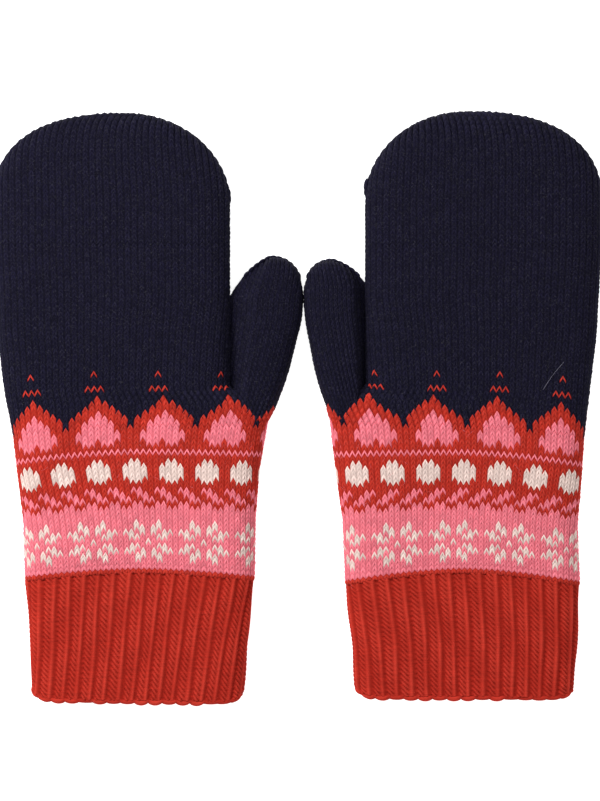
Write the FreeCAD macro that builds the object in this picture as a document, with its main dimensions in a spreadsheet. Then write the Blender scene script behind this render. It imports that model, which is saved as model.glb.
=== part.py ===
"""A pair of knitted mittens lying flat, thumbs together, as a parametric assembly.

Frame: +X across the pair, +Y from the cuffs to the fingertips, +Z up from the surface
that the mittens lie on.  The origin is at the middle of the footprint.  Each mitten is
built with X measured outwards from the middle of the pair, and the left one is then
mirrored.  The thumbs meet a little to the right of the middle, because the left thumb
stands out further.  Every length is in millimetres.
"""
import FreeCAD, Part
import math
import os

# ---------------------------------------------------------------- driving dimensions

COMMON_SIZES = {
    "thickness": 20.0,         # a mitten as it lies, both layers and the air between
    "edge_radius": 9.0,        # rounding of the fabric along the sides
    "thumb_edge_radius": 7.3,
    "wall": 3.0,               # one layer of knitting
    "float_layer": 1.0,        # strands carried behind the pattern
    "joint_gap": 0.3,          # clear slit between parts that fold
    "cuff_y": -131.0,          # open edge of the cuff
    "cast_on_y": -128.8,       # top of the cast-on edge
    "wrist_y": -72.5,          # rib cuff ends, pattern begins
    "band_y": -7.0,            # pattern ends, plain hand begins
    "fold_y": 73.0,            # line that the fingers fold on
    "dome_y": 90.5,            # where the sides start to round over
    "dome_height": 39.5,       # from there to the fingertips
    "thumb_dome_y": 48.0,
    "thumb_dome_height": 19.0,
    "fold_angle": 70.0,        # largest fold of the fingers
    "wrist_angle": 60.0,       # largest fold of the cuff
    "thumb_angle": 60.0,       # largest fold of the thumb
    "angle_margin": 1.0,       # extra room in each fold
    "seam_half": 1.5,          # half the width of the linked seam over the fingertips
    "seam_inset": 0.5,         # its middle, inside the edge of the fabric
    "seam_reach": 10.0,        # angle up from the side where it begins
    "thumb_seam_half": 1.2,
    "thumb_seam_reach": 45.0,
    "knot_length": 2.6,        # half length of the knot that ends the seam
    "knot_radius": 1.9,
    "hole_low_y": 2.0,         # opening between the hand and the thumb
    "hole_high_y": 42.0,
    "hole_height": 9.0,
    "hole_depth": 10.0,
}

# Heights along the mitten at which its sides are given, from the cuff to the fingertips.
LOWER_STATIONS = (-131.0, -105.0, -72.5, -46.0, -25.0, -7.0)
UPPER_STATIONS = (-7.0, 12.0, 34.0, 73.0)
THUMB_STATIONS = (-7.0, 7.0, 17.0, 28.0, 39.0)

# How far each side of a mitten stands out from the middle of the pair: the sides of the
# cuff and band, the far side of the hand, the free side of the thumb, the crease between
# hand and thumb, and the two sides of the thumb where its tip starts to round over.
MITTEN_SIZES = {
    "left": {
        "lower_inner": (24.4, 22.0, 18.9, 18.4, 16.7, 13.2),
        "lower_outer": (117.4, 118.1, 121.2, 122.1, 124.8, 127.0),
        "upper_outer": (127.0, 131.0, 133.8, 135.6),
        "thumb_outer": (13.2, 7.4, 3.8, 1.2, -1.1),
        "crease": 29.8,
        "thumb_tip_edge": -2.3,
        "thumb_inner_edge": 27.5,
    },
    "right": {
        "lower_inner": (26.6, 24.5, 20.6, 19.7, 16.6, 14.3),
        "lower_outer": (120.6, 122.9, 124.9, 124.2, 126.5, 127.8),
        "upper_outer": (127.8, 130.3, 133.3, 135.6),
        "thumb_outer": (14.3, 9.9, 7.3, 5.6, 4.0),
        "crease": 29.8,
        "thumb_tip_edge": 2.9,
        "thumb_inner_edge": 29.0,
    },
}

OVERRUN = 24.0      # how far a blank runs past the piece that is cut from it
CUTTER = 400.0      # side of a cutting box, larger than the whole pair
FLAT = 0.01         # an edge that rises less than this counts as level
INNER_ROUND = 1.05  # how much faster than its inset the rounding of a blank shrinks


def fill_sheet(sheet):
    """Write every driving dimension into the sheet, one row each, with its alias."""
    rows = dict(COMMON_SIZES)
    for side, sizes in MITTEN_SIZES.items():
        for name, value in sizes.items():
            if isinstance(value, tuple):
                for place, number in enumerate(value, start=1):
                    rows[f"{side}_{name}_{place}"] = number
            else:
                rows[f"{side}_{name}"] = value
    for row, (alias, value) in enumerate(rows.items(), start=1):
        sheet.set(f"A{row}", alias)
        sheet.set(f"B{row}", str(value))
        sheet.setAlias(f"B{row}", alias)


doc = FreeCAD.newDocument("Mittens")
sheet = doc.addObject("Spreadsheet::Sheet", "Sizes")
fill_sheet(sheet)
doc.recompute()


def size(alias):
    """A dimension read back from the sheet."""
    return float(sheet.get(alias))


def series(side, name):
    """A row of widths of one mitten, from the sheet."""
    count = len(MITTEN_SIZES[side][name])
    return [size(f"{side}_{name}_{place}") for place in range(1, count + 1)]


def add(kind, name, expressions=None, **values):
    """A document object with plain values and with properties bound to the sheet."""
    item = doc.addObject(kind, name)
    for key, value in values.items():
        setattr(item, key, value)
    for key, expression in (expressions or {}).items():
        item.setExpression(key, expression)
    return item


def cut(name, base, tool):
    """What is left of the base outside the tool."""
    return add("Part::Cut", name, Base=base, Tool=tool)


def common(name, base, tool):
    """What the base and the tool share."""
    return add("Part::Common", name, Base=base, Tool=tool)


# ---------------------------------------------------------------- outlines and blanks

def side_curve(points, start=None, end=None):
    """A smooth edge through the given places, with a set direction at either end."""
    curve = Part.BSplineCurve()
    options = {"Points": [FreeCAD.Vector(*point, 0) for point in points]}
    if start is not None:
        options["InitialTangent"] = FreeCAD.Vector(*start, 0)
        options["FinalTangent"] = FreeCAD.Vector(*end, 0)
    curve.interpolate(**options)
    return curve.toShape()


def tube_outline(side, inset):
    """Cuff and pattern band: two gently curved sides, run past both ends."""
    inner = [(width + inset, y)
             for width, y in zip(series(side, "lower_inner"), LOWER_STATIONS)]
    outer = [(width - inset, y)
             for width, y in zip(series(side, "lower_outer"), LOWER_STATIONS)]
    for edge in (inner, outer):
        edge.insert(0, (edge[0][0], edge[0][1] - OVERRUN))
        edge.append((edge[-1][0], edge[-1][1] + OVERRUN))
    bottom = Part.makeLine((*outer[0], 0), (*inner[0], 0))
    top = Part.makeLine((*inner[-1], 0), (*outer[-1], 0))
    return [bottom, side_curve(inner), top, side_curve(outer[::-1])]


def dome_arc(middle, across, rise, first=0.0, last=180.0):
    """Part of an ellipse over the given middle, between two angles from +X."""
    if across >= rise:
        ellipse = Part.Ellipse(middle, across, rise)
        shift = 0.0
    else:
        top = middle + FreeCAD.Vector(0, rise, 0)
        beside = middle + FreeCAD.Vector(-across, 0, 0)
        ellipse = Part.Ellipse(top, beside, middle)
        shift = 90.0
    start, end = math.radians(first - shift), math.radians(last - shift)
    return Part.ArcOfEllipse(ellipse, start, end).toShape()


def domed_outline(near, far, dome_y, dome_height):
    """Two sides joined over the top by half an ellipse; near and far run upwards."""
    up = (0.0, 1.0)
    bottom = Part.makeLine((*far[0], 0), (*near[0], 0))
    middle = FreeCAD.Vector((near[-1][0] + far[-1][0]) / 2, dome_y, 0)
    dome = dome_arc(middle, abs(far[-1][0] - near[-1][0]) / 2, dome_height)
    straight = Part.makeLine((*near[0], 0), (*near[1], 0))
    return [bottom, straight, side_curve(near[1:], up, up), dome, side_curve(far, up, up)]


def hand_outline(side, inset):
    """Plain hand and fingers: from the pattern band up to the rounded fingertips."""
    dome_y = size("dome_y")
    crease = size(f"{side}_crease") + inset
    far = [(width - inset, y)
           for width, y in zip(series(side, "upper_outer"), UPPER_STATIONS)]
    far.insert(0, (far[0][0], far[0][1] - OVERRUN))
    far.append((far[-1][0], dome_y))
    near = [(crease, far[0][1]), (crease, UPPER_STATIONS[0]), (crease, dome_y)]
    return domed_outline(near, far, dome_y, size("dome_height") - inset)


def thumb_outline(side, inset):
    """Thumb: straight along the hand, swelling outwards, with a rounded tip."""
    dome_y = size("thumb_dome_y")
    crease = size(f"{side}_crease") - inset
    outer = [(width + inset, y)
             for width, y in zip(series(side, "thumb_outer"), THUMB_STATIONS)]
    outer.insert(0, (outer[0][0], outer[0][1] - OVERRUN))
    outer.append((size(f"{side}_thumb_tip_edge") + inset, dome_y))
    tip_side = size(f"{side}_thumb_inner_edge") - inset
    inner = [(crease, outer[0][1]), (crease, UPPER_STATIONS[1]), (tip_side, dome_y)]
    return domed_outline(inner, outer, dome_y, size("thumb_dome_height") - inset)


def blank(name, edges, inset_names, radius_name="edge_radius"):
    """A cushion of fabric: the outline raised to its thickness and rounded all round."""
    rise = " + ".join(f"Sizes.{item}" for item in inset_names)
    height = f"Sizes.thickness - 2 * ({rise})" if inset_names else "Sizes.thickness"
    outline = add("Part::Feature", name + "_outline")
    outline.Shape = Part.Face(Part.Wire(Part.__sortEdges__(edges)))
    raised = add("Part::Extrusion", name + "_raised",
                 {"LengthFwd": height},
                 Base=outline, DirMode="Custom", Dir=FreeCAD.Vector(0, 0, 1), Solid=True)
    if inset_names:
        raised.setExpression("Placement.Base.z", rise)
    doc.recompute()
    depth = sum(size(item) for item in inset_names)
    radius = size(radius_name) - depth * INNER_ROUND
    low_y = outline.Shape.BoundBox.YMin
    high_y = outline.Shape.BoundBox.YMax
    tube = name.split("_")[1] == "tube"
    rounded = []
    for number, edge in enumerate(raised.Shape.Edges, start=1):
        box = edge.BoundBox
        level = box.ZLength < FLAT
        open_end = box.YLength < FLAT and box.YMax < low_y + FLAT
        far_end = tube and box.YLength < FLAT and box.YMin > high_y - FLAT
        if level and not open_end and not far_end:
            rounded.append((number, radius, radius))
    return add("Part::Fillet", name, Base=raised, Edges=rounded)


def slab(name, low, high):
    """A cutting box across the whole pair between two heights along the mitten."""
    return add("Part::Box", name,
               {"Placement.Base.y": low, "Width": f"({high}) - ({low})"},
               Length=CUTTER, Height=CUTTER,
               Placement=FreeCAD.Placement(FreeCAD.Vector(-CUTTER / 2, 0, -CUTTER / 2),
                                           FreeCAD.Rotation()))


def fold_clearance(name, angle, place, along_y):
    """Room for a fold: a slit through the fabric that opens upwards into a V."""
    half = "Sizes.joint_gap / 2"
    side_angle = f"(Sizes.{angle} / 2 + Sizes.angle_margin) * 1 deg"
    spread = f"({half} + 2 * Sizes.thickness * tan({side_angle}))"
    turn = FreeCAD.Rotation(FreeCAD.Vector(1, 0, 0), 90)
    if along_y:
        turn = FreeCAD.Rotation(FreeCAD.Vector(0, 0, 1), 90) * turn
    middle = "Sizes.thickness / 2"
    wedge = add("Part::Wedge", name + "_wedge",
                {"Zmin": f"-{half}", "Zmax": half,
                 "Z2min": f"-{spread}", "Z2max": spread,
                 "Ymax": "2 * Sizes.thickness",
                 "Placement.Base.z": middle},
                Xmin=-CUTTER / 2, Xmax=CUTTER / 2, X2min=-CUTTER / 2, X2max=CUTTER / 2,
                Ymin=0, Placement=FreeCAD.Placement(FreeCAD.Vector(), turn))
    slit = add("Part::Box", name + "_slit",
               {"Placement.Base.z": f"-{middle}", "Height": "Sizes.thickness"})
    if along_y:
        wedge.setExpression("Placement.Base.x", place)
        slit.setExpression("Placement.Base.x", f"{place} - {half}")
        slit.setExpression("Length", "Sizes.joint_gap")
        slit.Width = CUTTER
        slit.Placement.Base.y = -CUTTER / 2
    else:
        wedge.setExpression("Placement.Base.y", place)
        slit.setExpression("Placement.Base.y", f"{place} - {half}")
        slit.setExpression("Width", "Sizes.joint_gap")
        slit.Length = CUTTER
        slit.Placement.Base.x = -CUTTER / 2
    return add("Part::MultiFuse", name, Shapes=[wedge, slit])


# ---------------------------------------------------------------- the pieces

PIECES = []


def piece(item, side, label):
    """Note a finished sub-part under the name that its file takes."""
    if side == "left":
        item = add("Part::Mirroring", f"left_{label}_mirrored", Source=item,
                   Normal=FreeCAD.Vector(1, 0, 0), Base=FreeCAD.Vector(0, 0, 0))
    item.Label = f"{side}_{label}"
    PIECES.append(item)
    return item


def ridge(name, middle, across, rise, half_name, reach):
    """A linked seam: a raised strip along a rounded edge, between two equal angles."""
    half = size(half_name)
    flat = FreeCAD.Vector(middle.x, middle.y, 0)
    outer = dome_arc(flat, across + half, rise + half, reach, 180.0 - reach)
    inner = dome_arc(flat, across - half, rise - half, reach, 180.0 - reach)
    ends = [Part.makeLine(outer.valueAt(place), inner.valueAt(place))
            for place in (outer.FirstParameter, outer.LastParameter)]
    strip = add("Part::Feature", name + "_strip")
    strip.Shape = Part.Face(Part.Wire(Part.__sortEdges__([outer, inner, *ends])))
    return add("Part::Extrusion", name + "_raised",
               {"LengthFwd": f"2 * Sizes.{half_name}",
                "Placement.Base.z": f"Sizes.thickness / 2 - Sizes.{half_name}"},
               Base=strip, DirMode="Custom", Dir=FreeCAD.Vector(0, 0, 1), Solid=True)


def make_lower(side, wrist_gap):
    """Cast-on edge, rib cuff, pattern band and the strands carried behind it."""
    outer = blank(f"{side}_tube_outer", tube_outline(side, 0), ())
    inner = blank(f"{side}_tube_inner", tube_outline(side, size("wall")), ("wall",))
    within = size("wall") + size("float_layer")
    core = blank(f"{side}_tube_core", tube_outline(side, within), ("wall", "float_layer"))
    fabric = cut(f"{side}_tube_wall", outer, inner)
    folded = cut(f"{side}_tube_folded", fabric, wrist_gap)
    edge = slab(f"{side}_cast_on_slab", "Sizes.cuff_y", "Sizes.cast_on_y")
    cuff = slab(f"{side}_cuff_slab", "Sizes.cast_on_y", "Sizes.wrist_y")
    band = slab(f"{side}_band_slab", "Sizes.wrist_y", "Sizes.band_y")
    behind = slab(f"{side}_floats_slab", "Sizes.wrist_y + 2 * Sizes.wall",
                  "Sizes.band_y - Sizes.wall")
    piece(common(f"{side}_edge_cut", fabric, edge), side, "cast_on_edge")
    piece(common(f"{side}_cuff_cut", folded, cuff), side, "cuff")
    piece(common(f"{side}_band_cut", folded, band), side, "pattern_band")
    strands = cut(f"{side}_float_wall", inner, core)
    clear = cut(f"{side}_float_clear", strands, wrist_gap)
    piece(common(f"{side}_floats_cut", clear, behind), side, "band_floats")


def make_upper(side, fold_gap, thumb_gap, hole):
    """Hand and fingers, with the linked seam over the fingertips and its knot."""
    outer = blank(f"{side}_hand_outer", hand_outline(side, 0), ())
    inner = blank(f"{side}_hand_inner", hand_outline(side, size("wall")), ("wall",))
    fabric = cut(f"{side}_hand_wall", outer, inner)
    folded = cut(f"{side}_hand_folded", fabric, fold_gap)
    hand = slab(f"{side}_hand_slab", "Sizes.band_y", "Sizes.fold_y")
    tips = slab(f"{side}_tips_slab", "Sizes.fold_y",
                "Sizes.dome_y + 2 * Sizes.dome_height")
    lower = common(f"{side}_hand_part", folded, hand)
    creased = cut(f"{side}_hand_creased", lower, thumb_gap)
    piece(cut(f"{side}_hand_open", creased, hole), side, "hand")

    near_x = size(f"{side}_crease")
    far_x = series(side, "upper_outer")[-1]
    middle = FreeCAD.Vector((near_x + far_x) / 2, size("dome_y"), size("thickness") / 2)
    across = (far_x - near_x) / 2 - size("seam_inset")
    rise = size("dome_height") - size("seam_inset")
    seam = ridge(f"{side}_tip_seam", middle, across, rise, "seam_half", size("seam_reach"))
    knot = add("Part::Ellipsoid", f"{side}_knot",
               {"Radius1": "Sizes.knot_radius", "Radius2": "Sizes.knot_radius",
                "Radius3": "Sizes.knot_length"})
    angle = math.radians(size("seam_reach"))
    end = FreeCAD.Vector(-across * math.cos(angle), rise * math.sin(angle), 0)
    below = FreeCAD.Vector(0, -size("knot_length"), 0)
    knot.Placement = FreeCAD.Placement(middle + end + below, FreeCAD.Rotation())
    fingers = common(f"{side}_tips_part", folded, tips)
    grooved = cut(f"{side}_tips_grooved", fingers, seam)
    piece(cut(f"{side}_tips_open", grooved, knot), side, "fingers")
    piece(cut(f"{side}_seam_cut", seam, knot), side, "tip_seam")
    piece(knot, side, "seam_knot")


def make_thumb(side, thumb_gap, hole):
    """Thumb, open towards the hand, with the short linked seam over its tip."""
    outer = blank(f"{side}_thumb_outer", thumb_outline(side, 0), (), "thumb_edge_radius")
    inner = blank(f"{side}_thumb_inner", thumb_outline(side, size("wall")), ("wall",),
                  "thumb_edge_radius")
    fabric = cut(f"{side}_thumb_wall", outer, inner)
    above = slab(f"{side}_thumb_slab", "Sizes.band_y + Sizes.joint_gap", "Sizes.fold_y")
    part = common(f"{side}_thumb_part", fabric, above)
    creased = cut(f"{side}_thumb_creased", part, thumb_gap)
    opened = cut(f"{side}_thumb_open", creased, hole)
    near_x = size(f"{side}_thumb_tip_edge")
    far_x = size(f"{side}_thumb_inner_edge")
    middle = FreeCAD.Vector((near_x + far_x) / 2, size("thumb_dome_y"),
                            size("thickness") / 2)
    inset = size("thumb_seam_half")
    seam = ridge(f"{side}_thumb_seam", middle, (far_x - near_x) / 2 - inset,
                 size("thumb_dome_height") - inset, "thumb_seam_half",
                 size("thumb_seam_reach"))
    piece(cut(f"{side}_thumb_grooved", opened, seam), side, "thumb")
    piece(seam, side, "thumb_seam")


def make_mitten(side, wrist_gap, fold_gap):
    """All ten pieces of one mitten."""
    crease = f"Sizes.{side}_crease"
    thumb_gap = fold_clearance(f"{side}_thumb_gap", "thumb_angle", crease, True)
    hole = add("Part::Box", f"{side}_thumb_hole",
               {"Length": "2 * Sizes.hole_depth",
                "Width": "Sizes.hole_high_y - Sizes.hole_low_y",
                "Height": "Sizes.hole_height",
                "Placement.Base.x": f"{crease} - Sizes.hole_depth",
                "Placement.Base.y": "Sizes.hole_low_y",
                "Placement.Base.z": "(Sizes.thickness - Sizes.hole_height) / 2"})
    make_lower(side, wrist_gap)
    make_upper(side, fold_gap, thumb_gap, hole)
    make_thumb(side, thumb_gap, hole)


wrist_gap = fold_clearance("wrist_gap", "wrist_angle", "Sizes.wrist_y", False)
fold_gap = fold_clearance("fold_gap", "fold_angle", "Sizes.fold_y", False)
for mitten in MITTEN_SIZES:
    make_mitten(mitten, wrist_gap, fold_gap)
doc.recompute()

# ---------------------------------------------------------------- checks and files

for item in doc.Objects:
    faults = [state for state in item.State if state in ("Invalid", "Error")]
    if faults:
        raise RuntimeError(f"{item.Name} did not recompute: {faults}")
os.makedirs("parts", exist_ok=True)
for item in PIECES:
    if item.Shape.isNull() or not item.Shape.isValid():
        raise RuntimeError(f"{item.Label} has no valid shape")
for item in PIECES:
    item.Shape.exportStep(f"parts/{item.Label}.step")
    box = item.Shape.BoundBox
    print(f"{item.Label:22s} solids {len(item.Shape.Solids)} volume {item.Shape.Volume:9.1f} "
          f"x {box.XMin:.1f}..{box.XMax:.1f} y {box.YMin:.1f}..{box.YMax:.1f} "
          f"z {box.ZMin:.1f}..{box.ZMax:.1f}")
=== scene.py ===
"""A pair of knitted mittens: ribbed cuffs, patterned bands, plain hands, fingers and thumbs.

Every stitch is a raised loop on a closed tube of cloth, coloured from the knitting charts below.
Lengths are in metres, and each mitten is laid out from the line where the two thumbs meet.
"""

import math

import bpy
import numpy as np
from bpy.props import FloatProperty, FloatVectorProperty, IntProperty, PointerProperty
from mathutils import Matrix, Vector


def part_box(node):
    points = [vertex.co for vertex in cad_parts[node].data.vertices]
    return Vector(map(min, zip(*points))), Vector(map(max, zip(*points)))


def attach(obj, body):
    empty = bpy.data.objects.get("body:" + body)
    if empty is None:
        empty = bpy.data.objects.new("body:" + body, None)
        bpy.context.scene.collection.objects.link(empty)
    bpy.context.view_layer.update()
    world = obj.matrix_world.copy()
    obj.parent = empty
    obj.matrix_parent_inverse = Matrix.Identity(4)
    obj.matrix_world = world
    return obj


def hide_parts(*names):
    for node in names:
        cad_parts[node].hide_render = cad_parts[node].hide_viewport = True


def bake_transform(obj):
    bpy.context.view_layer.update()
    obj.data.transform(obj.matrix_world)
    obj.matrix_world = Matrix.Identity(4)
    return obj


bl_info = {
    "name": "Knitted Mittens",
    "version": (1, 0, 0),
    "blender": (4, 5, 0),
    "location": "View3D > Sidebar > Mittens",
    "description": "Knits a pair of patterned mittens around their frame",
    "category": "Mesh",
}

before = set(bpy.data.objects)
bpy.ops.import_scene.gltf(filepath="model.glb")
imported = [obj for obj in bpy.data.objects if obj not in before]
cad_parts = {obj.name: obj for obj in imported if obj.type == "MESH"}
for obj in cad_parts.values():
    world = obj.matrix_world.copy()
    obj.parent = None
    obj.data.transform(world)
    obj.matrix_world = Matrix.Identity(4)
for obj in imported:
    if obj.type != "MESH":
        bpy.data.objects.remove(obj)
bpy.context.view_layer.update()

MM = 0.001
WHICH_WAY = {"left": -1, "right": 1}
MEETING_X = 2.6 * MM

CAST_ON_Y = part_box("left_cuff")[0].y
WRIST_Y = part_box("left_pattern_band")[0].y
TIP_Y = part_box("left_tip_seam")[1].y - MM
THUMB_TIP_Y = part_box("left_thumb")[1].y
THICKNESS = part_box("left_hand")[1].z
MID_Z = THICKNESS / 2

# Distances from the meeting line of the thumbs, in millimetres, at heights along the mitten.
INNER_EDGE = {
    "left": ((-131, 27), (-105, 24.6), (-72.5, 21.5), (-46, 21), (-25, 19.3), (-7, 15.8),
             (-3, 14.6), (0, 14), (2, 15.2), (4, 19.5), (6, 26), (7.5, 30), (9, 31.8), (12, 32.5)),
    "right": ((-131, 22.8), (-105, 21.4), (-72.5, 18.3), (-46, 17.1), (-25, 14), (-7, 11.7),
              (-3, 10.4), (0, 9.8), (2, 11), (4, 15), (6, 21.4), (7.5, 25), (9, 26.7), (12, 27.2)),
}
OUTER_EDGE = {
    "left": ((-131, 121.5), (-105, 121.7), (-72.5, 124.2), (-46, 124.9), (-25, 127.4),
             (-7, 129.6), (12, 133.6), (34, 136.4), (73, 138.2)),
    "right": ((-131, 120), (-105, 122.2), (-72.5, 123.2), (-46, 122.2), (-25, 124),
              (-7, 125.2), (12, 127.7), (34, 130.7), (73, 133)),
}
THUMB_EDGE = {
    "left": ((-7, 16), (0, 12.4), (7, 9.6), (17, 6.1), (28, 3.4), (39, 0.5), (48, -0.35)),
    "right": ((-7, 12.5), (0, 9.8), (7, 7.3), (17, 4.6), (28, 2.5), (39, 0.4), (48, -0.4)),
}
THUMB_CREASE = {
    "left": ((-7, 29), (5, 34.4), (35, 34.2), (48, 33.6)),
    "right": ((-7, 24.6), (5, 29.4), (35, 29.2), (50, 28.6)),
}
ROOM_THICKNESS = (
    (-131, 15.6), (-90, 17), (-74, 17.4), (-66, 18.8), (-40, 19.4), (-7, 20), (73, 20))
THUMB_THICKNESS = ((-7, 15), (-3, 16.5), (1, 18.4), (6, 19.3), (15, 19.4), (48, 19))
# How far a row hangs below its level at its inner end, its middle and its outer end, and how
# late it starts to hang towards its ends.
ROW_DROP = {
    "left": ((-131, 1.5, 0.9, -0.3), (-72.5, 2.2, -1.3, 2.4), (-64, 2, 0, 2.6), (-29, 2, 0.8, 5.6),
             (-19, 1.8, 0.7, 5.4), (-4, 0.2, 0.5, 4.7), (14, 0.2, 0, 3), (50, 0, 0, 0)),
    "right": ((-131, -1.4, -0.9, -0.7), (-72.5, 4.2, -1.3, 4.6), (-64, 3.6, 0, 4.5),
              (-29, 2.6, 1.3, 6.8), (-19, 2, 1, 6.5), (-4, -1, 0.4, 5.8), (14, -0.5, 0, 4),
              (50, 0, 0, 0)),
}
DROP_POWER = 1.7
# How far the columns lean towards the thumb.
COLUMN_LEAN = {
    "left": ((-131, 0), (-72.5, 2.2), (-58, 1.8), (-30, 0.3), (-14, -1.1), (-5, -1.2), (25, 0)),
    "right": ((-131, 0), (-72.5, 1.8), (-58, 1.3), (-30, -0.5), (-14, -1.6), (-5, -1.6), (25, 0)),
}
# How much the columns bunch up beside the middle of the hearts.
HEART_CROWDING = {"left": -0.06, "right": 0.0}
# The share of a turn that the ribs wind round the cuff.
CUFF_TWIST = {"left": 0.012, "right": 0.0}
# How high the corners of a cuff's lower edge rise, how suddenly, and over which height.
CORNER_RISE = 3.6 * MM
CORNER_POWER = 18
CORNER_REACH = 5 * MM
RIPPLE = 0.35 * MM

DOME_Y = 90.5 * MM
THUMB_DOME_Y = 48 * MM
# Power of the curve by which a tube thins towards its tip.
ROUND_OF_TIP = 6
# How square the inner and the outer side of each tip are, how much higher the tip is and how
# far its top is from the meeting line.
HAND_TIP = {"left": (1.98, 2.45, 1.2, 78.5), "right": (2.05, 2.4, 2.0, 73)}
# How square the free side and the crease side of a thumb's tip are, then the height of the
# crotch, the distance of the thumb's top from the meeting line and how much higher it is.
THUMB_TIP = {"left": (2.35, 1.35, 47.8, 14.5, 0.8), "right": (2.35, 1.5, 53.2, 12.5, -0.7)}
# Where across a thumb its cloth starts to dip to the crease, and where it is lowest.
CREASE_DIP = {"left": (0.25, 0.84), "right": (0.5, 0.86)}
# How far the knot at the end of the tip seam is moved along the mitten.
KNOT_RISE = {"left": -1.8, "right": 3.0}
# Powers of the curve round a tube: across it, then through its thickness.
HAND_SECTION = (8, 2.2)
THUMB_SECTION = (3, 2.2)
# Ends of the stray hair: from the meeting line, along the mitten and above the cloth.
STRAY_HAIR = ((106.1, 8.2, 0.5), (115.4, 20.5, 0.1))

# Charts are read from the fingertip end down. N is navy, R rust, P pink and C cream.
HEART_CHART = ("...P...", "..PPP..", ".PPPPP.", ".PPPPP.", "PPPPPPP", "PPPPPPP", ".PP.PP.")
DOT_CHART = (".CC.", "CCCC", "CCCC", "CCCC", ".CC.")
WAVE_CHART = ("PP..", ".PP.", "..PP", "PP..")
STAR_CHART = (
    "..C...C..",
    "..CC.CC..",
    "CC.C.C.CC",
    ".CC...CC.",
    "....C....",
    ".CC...CC.",
    "CC.C.C.CC",
    "..CC.CC..",
    "..C...C..",
)
# How far the rust reaches to each side of a heart's middle, from its peak down.
HEART_REACH = (0, 1, 2, 3, 4, 4, 5, 5, 5, 5)
# The same for the small spots above the hearts, by row.
SPOT_REACH = {38: 1, 41: 0}
RUST_ROWS = (18, 24, 26)
# Rows that the rows on both sides close over.
THIN_ROWS = (19, 25, 38, 41)
# Yarns of the strands behind the pattern, from the wrist up.
STRAND_YARNS = "PRPRCRCRPRPRPRPR"
BAND_COLUMNS = 90
THUMB_COLUMNS = 30
CUFF_RIBS = 33
GUSSET_COLUMNS = 7
BAND_ROWS = 31
CHART_ROWS = 44
HAND_ROWS = 39
CUFF_ROWS = 26.5
CUFF_ROW = (WRIST_Y + 1.2 * MM - CAST_ON_Y) / CUFF_ROWS
PLAIN_COLUMNS = BAND_COLUMNS // 2 - GUSSET_COLUMNS
THINNEST_COLUMN = 0.02
# Lines of points to each row.
CUFF_STEPS, PATTERN_STEPS, PLAIN_STEPS = 6, 4, 3

# Height of a stitch across its two legs, and from the foot to the top of each leg.
LEG_ACROSS = (0.10, 0.75, 1.0, 0.55, 1.0, 0.75)
LEG_UP = ((0, 0.25, 0.5, 0.75, 1), (0, 0.8, 1, 0.75, 0))
# The points of the lowest rows lead less than those above.
LEAD_BY_ROW = ((-1, 0, 2), (0.3, 0.5, 1))
# Height across a rib and its groove, and how deep its slanted strokes are cut there.
RIB_ACROSS = (0.6, 0.95, 1.1, 1.15, 1.1, 0.95, 0.75, 0.92, 0.95, 0.62, 0.3, 0.25)
STROKE_ACROSS = (0.7, 1, 1, 1, 1, 0.8, 0.2, 0, 0, 0, 0.1, 0.3)
STROKE_LEAN = 3.3
# How much the colour of a stitch and its height vary.
YARN_UNEVENNESS = 0.055
STITCH_UNEVENNESS = 0.12
# Half-width of a tube below which its relief fades towards the tip.
NARROW = 9 * MM
LINING_ROWS = 12
# Painted shade mask of the lining, rims and caps: below 1, so they are painted a little darker.
LINING_UNSHADED = 0.7

# Shortest and longest length, rise and curl of a stray fibre, in millimetres.
FIBRE_RANGES = ((1.2, 4.2), (0.15, 0.7), (-0.9, 0.9))
FIBRE_RADIUS = 0.028 * MM
HAIR_RADIUS = 0.055 * MM
STRAND_RADIUS = 0.45 * MM
# Half-length, half-width and half-height of one seam stitch.
TIP_BEAD = (2.6 * MM, 0.8 * MM, 1.6 * MM)
THUMB_BEAD = (1.8 * MM, 0.8 * MM, 1.2 * MM)
KNOT_BEAD = (2.6 * MM, 1.2 * MM, 1.8 * MM)

# Fibre contrast, groove shade, fluff, heather and sheen of each wool.
WOOLS = {
    "Navy Wool": (0.9, 0.4, 0.2, 0.9, 0.015),
    "Pattern Wool": (0.4, 0.4, 0.25, 0.25, 0.02),
    "Rib Wool": (0.6, 0.42, 0.03, 0.4, 0.0),
}
SEEDS = {"cuff": 11, "band": 21, "hand": 31, "fingers": 41, "thumb": 51, "cast_on": 61}
UPRIGHT = np.array([0, 0, 1])


def linear(red, green, blue):
    """A screen colour in 0-255 steps as the linear values that materials use."""
    return tuple(
        value / 12.92 if value <= 0.04045 else ((value + 0.055) / 1.055) ** 2.4
        for value in (red / 255, green / 255, blue / 255)
    )


class MittenKnitting(bpy.types.PropertyGroup):
    """Gauge and relief of the knitting."""

    pattern_row: FloatProperty(
        name="Pattern Row", description="Height of one row of the patterned knitting",
        default=2.109 * MM, unit="LENGTH")
    plain_row: FloatProperty(
        name="Plain Row", description="Height of one row of the plain knitting",
        default=2.016 * MM, unit="LENGTH")
    stitch_relief: FloatProperty(
        name="Stitch Relief", description="How far a stitch stands proud of the cloth",
        default=0.62 * MM, unit="LENGTH")
    rib_relief: FloatProperty(
        name="Rib Relief", description="How far a rib of the cuff stands proud",
        default=1.5 * MM, unit="LENGTH")
    stroke_relief: FloatProperty(
        name="Stroke Relief", description="Depth between the slanted stitches of a rib",
        default=1.0 * MM, unit="LENGTH")
    leg_lean: FloatProperty(
        name="Leg Lean", description="Rows that each leg of a stitch climbs to its point",
        default=1.05)
    wall: FloatProperty(
        name="Wall", description="Thickness of the cloth", default=2.4 * MM, unit="LENGTH")
    fluff: IntProperty(
        name="Fluff", description="Stray fibres on each piece", default=420, min=0)


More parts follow.
